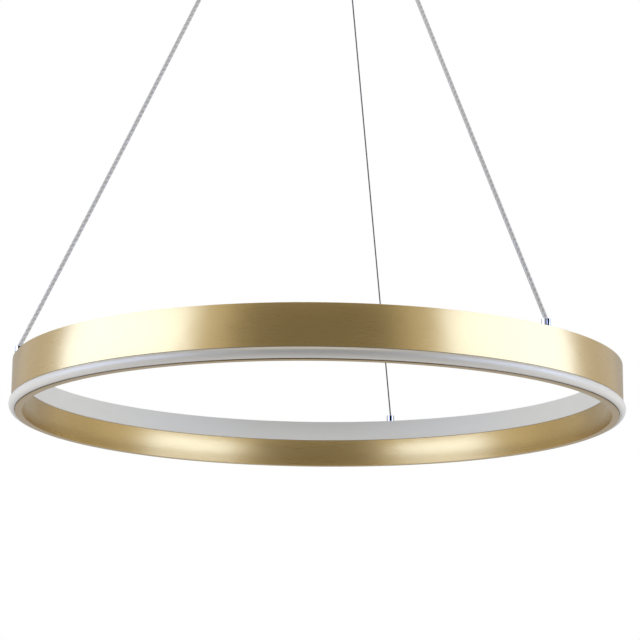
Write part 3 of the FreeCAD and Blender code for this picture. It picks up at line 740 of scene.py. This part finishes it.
FINISHES = {
    "anchor_nuts": STEEL, "ring_leads": SHEATH_WHITE, "splice_plate": BARE,
    "inner_led_board": BOARD, "outer_led_board": BOARD,
    "inner_led_chips": LAMP, "outer_led_chips": LAMP,
    "ceiling_bracket": STEEL, "cover_screws": GOLD,
    "gripper_barrels": CHROME, "gripper_nuts": STEEL,
    "gripper_collet_back": CHROME, "gripper_collet_left": CHROME, "gripper_collet_right": CHROME,
    "conductor_ends": SHEATH_WHITE, "steel_wire_end": STEEL,
    "driver_pad": FOAM, "driver_case": DRIVER, "driver_lid": DRIVER, "terminal_block": TERMINAL,
}
for name, material in FINISHES.items():
    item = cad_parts[name]
    item.data.materials.clear()
    item.data.materials.append(material)

# ---------------------------------------------------------------- studio

def mirrored(spot, side):
    return Vector((side * spot[0], spot[1], spot[2]))


def area_light(name, spot, target, size, power):
    data = bpy.data.lights.new(name, "AREA")
    data.shape = "RECTANGLE"
    data.size, data.size_y = size
    data.energy = power
    item = put(name, data)
    item.location = spot
    item.rotation_euler = (Vector(target) - Vector(spot)).to_track_quat("-Z", "Y").to_euler()
    item.visible_camera = False
    return item


def seen_rays(tree):
    """1 for camera, glossy and transmission rays, 0 for the rest."""
    path = node(tree, "ShaderNodeLightPath")
    first = maths(tree, "MAXIMUM", path.outputs["Is Camera Ray"], path.outputs["Is Glossy Ray"])
    return maths(tree, "MAXIMUM", first, path.outputs["Is Transmission Ray"])


def stage_cloth(name, tone, share, level, fade=None):
    """Matt cloth that shows the camera and reflections a set grey level, for part of its look.

    The share rises to all of it between the two distances of fade, in metres from the middle.
    """
    material = plastic(name, (tone,) * 3, 0.9, mottle=0.01, scale=3.0)
    tree = material.node_tree
    glow = node(tree, "ShaderNodeEmission", Color=(1, 1, 1, 1), Strength=level)
    if fade:
        place = node(tree, "ShaderNodeTexCoord")
        away = node(
            tree, "ShaderNodeVectorMath", [(0, place.outputs["Object"])], operation="LENGTH",
        )
        share = band(tree, away.outputs["Value"], share, 1.0, *fade)
    part = maths(tree, "MULTIPLY", seen_rays(tree), share)
    mix = node(tree, "ShaderNodeMixShader", [("Fac", part)])
    tree.links.new(tree.nodes["Principled BSDF"].outputs[0], mix.inputs[1])
    tree.links.new(glow.outputs[0], mix.inputs[2])
    tree.links.new(mix.outputs[0], tree.nodes["Material Output"].inputs["Surface"])
    material.cycles.emission_sampling = "NONE"
    return material


def stage_mesh(name, points, faces, material):
    """Studio piece from points in metres."""
    mesh = bpy.data.meshes.new(name)
    mesh.from_pydata(points, [], faces)
    mesh.materials.append(material)
    item = put(name, mesh)
    return item


def softbox(name, spot, target, size):
    """Upright glowing panel seen only in reflections, for highlights on metal and lens."""
    across = (target - spot).cross(Vector((0, 0, 1))).normalized() * (size[0] / 2)
    up = Vector((0, 0, size[1] / 2))
    corners = [
        spot + way * across + rise * up for way, rise in ((-1, -1), (1, -1), (1, 1), (-1, 1))
    ]
    material = bpy.data.materials.new(f"{name}_glow")
    material.use_nodes = True
    tree = material.node_tree
    tree.nodes.clear()
    glow = node(
        tree, "ShaderNodeEmission", Color=(*SOFTBOX_TINT, 1.0), Strength=SOFTBOX_GLOW,
    )
    node(tree, "ShaderNodeOutputMaterial", [("Surface", glow.outputs[0])])
    material.cycles.emission_sampling = "NONE"
    panel = stage_mesh(name, corners, [(0, 1, 2, 3)], material)
    panel.visible_camera = False
    panel.visible_diffuse = False
    panel.visible_shadow = False


def curved_card(name, turn, half_wide, distance, heights, level):
    """Grey card hidden from the camera, bent round the object.

    The turn is from the camera's side, and half the width is an angle too, in degrees.
    """
    points = []
    for k in range(CARD_STEPS + 1):
        angle = math.radians(turn + half_wide * (2 * k / CARD_STEPS - 1))
        for height in heights:
            points.append((distance * math.sin(angle), -distance * math.cos(angle), height))
    faces = [(2 * k, 2 * k + 2, 2 * k + 3, 2 * k + 1) for k in range(CARD_STEPS)]
    card = stage_mesh(name, points, faces, stage_cloth(f"{name}_cloth", level, 1.0, level))
    card.visible_camera = False
    card.visible_shadow = False


def make_background():
    """White for the camera and reflections, dimmer as a light."""
    world = bpy.data.worlds.new("studio")
    bpy.context.scene.world = world
    world.use_nodes = True
    tree = world.node_tree
    tree.nodes.clear()
    dim = node(tree, "ShaderNodeBackground", Color=(1, 1, 1, 1), Strength=DIM_SKY)
    white = node(tree, "ShaderNodeBackground", Color=(1, 1, 1, 1), Strength=1.0)
    mix = node(tree, "ShaderNodeMixShader", [("Fac", seen_rays(tree))])
    tree.links.new(dim.outputs[0], mix.inputs[1])
    tree.links.new(white.outputs[0], mix.inputs[2])
    node(tree, "ShaderNodeOutputWorld", [("Surface", mix.outputs[0])])


def make_floor():
    """Round floor that keeps the object's shadow, and turns plain white towards its rim."""
    rim = [polar(FLOOR_R, turn, FLOOR_Z) for turn in range(0, 360, 3)]
    fade = (-FLOOR_Z, math.hypot(FLOOR_R, FLOOR_Z) - FLOOR_EDGE)
    cloth = stage_cloth("floor", FLOOR_TONE, FLOOR_SHARE, 1.0, fade)
    stage_mesh("floor", rim, [tuple(range(len(rim)))], cloth)


def make_studio():
    bpy.context.scene.view_settings.view_transform = "Standard"
    make_background()
    make_floor()
    curved_card("front_flag", 0.0, **FRONT_FLAG)
    for side in (-1, 1):
        curved_card(f"side_card_{side + 1}", side * SIDE_TURN, **SIDE_CARD)
        curved_card(f"rear_card_{side + 1}", side * REAR_TURN, **REAR_CARD)
    for side in (-1, 1):
        softbox(
            f"softbox_{side + 1}", mirrored(SOFTBOX_SPOT, side), mirrored(SOFTBOX_AIM, side),
            SOFTBOX_SIZE,
        )
        fill = area_light(
            f"fill_{side + 1}", mirrored(FILL_SPOT, side), FILL_AIM, FILL_SIZE, FILL_POWER,
        )
        fill.visible_glossy = False
    area_light("front_high", FRONT_SPOT, FRONT_AIM, FRONT_SIZE, FRONT_POWER)


make_studio()
